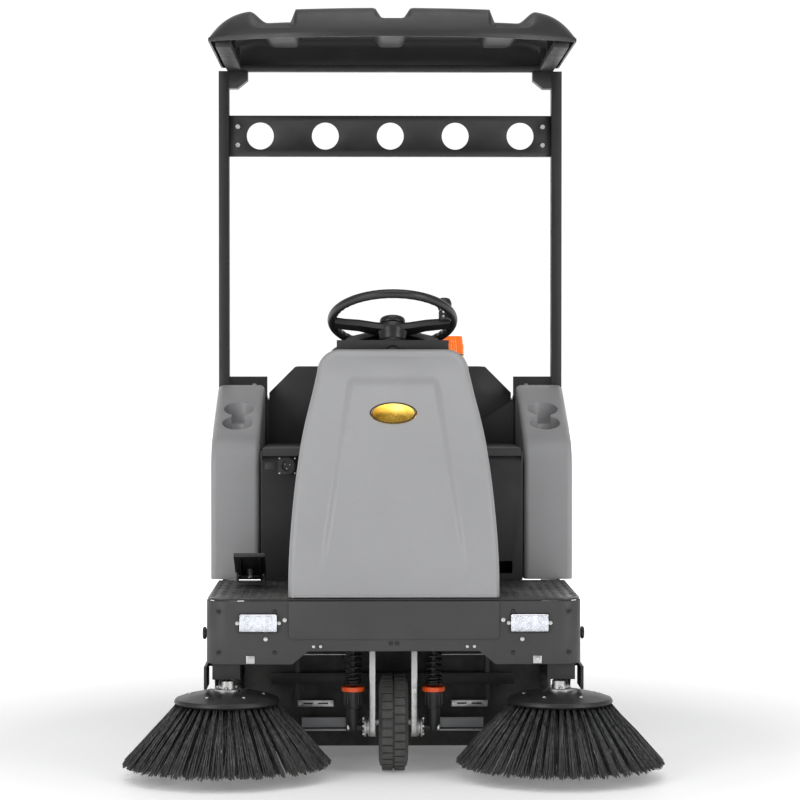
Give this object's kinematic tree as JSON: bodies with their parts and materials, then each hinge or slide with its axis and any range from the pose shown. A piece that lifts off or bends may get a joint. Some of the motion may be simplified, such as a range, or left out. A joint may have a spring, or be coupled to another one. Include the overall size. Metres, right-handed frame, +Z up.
{
  "type": "ride-on sweeper",
  "caption": "Ride-on floor sweeper with front side brushes, a roller brush, a dust hopper, one steered front wheel, a seat and a roof.",
  "frame": {"origin": "on the floor, under the centre of the machine's box", "axes": "-Y is the machine's front, +X the driver's left, +Z up"},
  "size_m": [1.4099, 1.596, 2.022],
  "materials": {
    "frame_steel": "satin black powder coat",
    "bumper_paint": "fine textured dark grey powder coat",
    "tread_plate": "raised tread pattern, satin",
    "body_grey": "fine grained light grey moulding",
    "body_black": "fine textured black",
    "black_plastic": "grained black moulding",
    "soft_black": "satin moulded grip",
    "zinc": "bright zinc plate",
    "badge_gold": "polished domed plate, blank",
    "lamp_silver": "bright reflector housing",
    "lamp_clear": "clear ribbed lens",
    "amber": "amber lens",
    "tyre_rubber": "block tread rubber",
    "flap_rubber": "smooth sheet rubber",
    "wheel_rim": "silver painted rim",
    "bristle": "stiff black bristle",
    "spring_steel": "black coil",
    "vinyl": "grained black vinyl",
    "filter_paper": "pleated filter medium",
    "battery_case": "moulded case",
    "red_plastic": "red mushroom cap"
  },
  "bodies": {
    "chassis": {"main_frame": "frame_steel", "front_bumper": "bumper_paint", "fascia_plate": "bumper_paint", "deck_plate": "tread_plate", "front_cowl": "body_grey", "cowl_badge": "badge_gold", "dash_console": "black_plastic", "console_panel": "black_plastic", "steering_column": "frame_steel", "side_cover_left": "body_grey", "side_cover_right": "body_grey", "battery_box": "body_black", "batteries": "battery_case", "charge_socket": "soft_black", "rear_cover": "body_black", "dust_filter": "filter_paper", "vacuum_fan": "black_plastic", "side_panels": "body_black", "roof_posts": "frame_steel", "roof_crossbar": "frame_steel", "roof_rails": "frame_steel", "roof_canopy": "black_plastic", "work_lamps": "lamp_silver", "lamp_lenses": "lamp_clear", "beacon_base": "soft_black", "beacon_lens": "amber", "brush_tunnel": "frame_steel", "rubber_skirts": "flap_rubber", "rear_axle": "zinc", "frame_bolts": "zinc"},
    "steering_wheel": {"steering_wheel": "soft_black"},
    "spinner_knob": {"spinner_knob": "soft_black"},
    "horn_button": {"horn_button": "soft_black"},
    "steering_fork": {"steering_fork": "frame_steel", "shock_springs": "spring_steel"},
    "axle_carrier": {"axle_carrier": "zinc"},
    "front_wheel": {"front_tyre": "tyre_rubber", "front_rim": "wheel_rim"},
    "rear_wheel_left": {"rear_wheel_left": "tyre_rubber"},
    "rear_wheel_right": {"rear_wheel_right": "tyre_rubber"},
    "brush_arm_left": {"brush_arm_left": "frame_steel", "brush_motor_left": "frame_steel"},
    "brush_arm_right": {"brush_arm_right": "frame_steel", "brush_motor_right": "frame_steel"},
    "side_brush_left": {"brush_disc_left": "black_plastic", "side_bristles_left": "bristle"},
    "side_brush_right": {"brush_disc_right": "black_plastic", "side_bristles_right": "bristle"},
    "roller_arms": {"roller_arms": "frame_steel"},
    "main_brush": {"main_brush": "bristle"},
    "dust_hopper": {"dust_hopper": "body_black"},
    "seat_lid": {"seat_lid": "body_black"},
    "seat": {"seat_pan": "black_plastic", "seat_cushion": "vinyl", "seat_backrest": "vinyl"},
    "accelerator_pedal": {"accelerator_pedal": "frame_steel"},
    "key_switch": {"key_switch": "zinc"},
    "stop_button": {"stop_button": "red_plastic"},
    "direction_switch": {"direction_switch": "soft_black"}
  },
  "joints": [
    {"name": "fork_steer", "type": "hinge", "parent": "chassis", "child": "steering_fork", "pos_m": [0, -0.425, 0.4], "axis": [0, 0, 1], "range_deg": [-60, 60]},
    {"name": "front_suspension", "type": "slide", "parent": "steering_fork", "child": "axle_carrier", "axis": [0, 0, 1], "range_m": [0, 0.025], "stiffness_N_per_m": 60000, "springref_m": -0.06, "deforming": ["shock_springs"]},
    {"name": "front_wheel_spin", "type": "hinge", "parent": "axle_carrier", "child": "front_wheel", "pos_m": [0, -0.425, 0.128], "axis": [1, 0, 0], "continuous": true},
    {"name": "steering_wheel_turn", "type": "hinge", "parent": "chassis", "child": "steering_wheel", "pos_m": [0, -0.225, 1.186], "axis": [0, 0.4226, 0.9063], "range_deg": [-150, 150]},
    {"name": "spinner_knob_spin", "type": "hinge", "parent": "steering_wheel", "child": "spinner_knob", "pos_m": [0.14, -0.24856, 1.19699], "axis": [0, 0.4226, 0.9063], "continuous": true},
    {"name": "horn_press", "type": "slide", "parent": "steering_wheel", "child": "horn_button", "axis": [0, -0.4226, -0.9063], "range_m": [0, 0.003], "stiffness_N_per_m": 600, "springref_m": -0.006},
    {"name": "seat_lid_hinge", "type": "hinge", "parent": "chassis", "child": "seat_lid", "pos_m": [0, -0.062, 0.819], "axis": [1, 0, 0], "range_deg": [0, 35]},
    {"name": "seat_slide", "type": "slide", "parent": "seat_lid", "child": "seat", "axis": [0, -1, 0], "range_m": [0, 0.05]},
    {"name": "accelerator_press", "type": "hinge", "parent": "chassis", "child": "accelerator_pedal", "pos_m": [-0.386, -0.155, 0.488], "axis": [1, 0, 0], "range_deg": [0, 16], "stiffness_Nm_per_rad": 12, "springref_deg": -20.05},
    {"name": "key_turn", "type": "hinge", "parent": "chassis", "child": "key_switch", "pos_m": [-0.095, -0.176, 1.06], "axis": [0, -1, 0], "range_deg": [0, 90]},
    {"name": "stop_press", "type": "slide", "parent": "chassis", "child": "stop_button", "axis": [0, -1, 0], "range_m": [0, 0.005], "stiffness_N_per_m": 500, "springref_m": -0.01},
    {"name": "direction_rock", "type": "hinge", "parent": "chassis", "child": "direction_switch", "pos_m": [0, -0.174, 1.06], "axis": [1, 0, 0], "range_deg": [-8, 8]},
    {"name": "main_brush_lift", "type": "hinge", "parent": "chassis", "child": "roller_arms", "pos_m": [0, 0.01, 0.33], "axis": [1, 0, 0], "range_deg": [-5, 0]},
    {"name": "main_brush_spin", "type": "hinge", "parent": "roller_arms", "child": "main_brush", "pos_m": [0, 0.23, 0.16], "axis": [1, 0, 0], "continuous": true},
    {"name": "hopper_slide", "type": "slide", "parent": "chassis", "child": "dust_hopper", "axis": [0, 1, 0], "range_m": [0, 0.4]},
    {"name": "rear_wheel_left_spin", "type": "hinge", "parent": "chassis", "child": "rear_wheel_left", "pos_m": [0.425, 0.33, 0.15], "axis": [1, 0, 0], "continuous": true},
    {"name": "side_brush_left_lift", "type": "hinge", "parent": "chassis", "child": "brush_arm_left", "pos_m": [0.432, -0.33, 0.346], "axis": [1, 0, 0], "range_deg": [0, 2.8]},
    {"name": "side_brush_left_spin", "type": "hinge", "parent": "brush_arm_left", "child": "side_brush_left", "pos_m": [0.432, -0.525, 0.2], "axis": [0, 0, 1], "continuous": true},
    {"name": "rear_wheel_right_spin", "type": "hinge", "parent": "chassis", "child": "rear_wheel_right", "pos_m": [-0.425, 0.33, 0.15], "axis": [1, 0, 0], "continuous": true},
    {"name": "side_brush_right_lift", "type": "hinge", "parent": "chassis", "child": "brush_arm_right", "pos_m": [-0.432, -0.33, 0.346], "axis": [1, 0, 0], "range_deg": [0, 2.8]},
    {"name": "side_brush_right_spin", "type": "hinge", "parent": "brush_arm_right", "child": "side_brush_right", "pos_m": [-0.432, -0.525, 0.2], "axis": [0, 0, 1], "continuous": true}
  ],
  "couplings": [
    {"joint": "steering_wheel_turn", "follows": "fork_steer", "ratio": 2.5},
    {"joint": "side_brush_right_lift", "follows": "side_brush_left_lift", "ratio": 1}
  ]
}
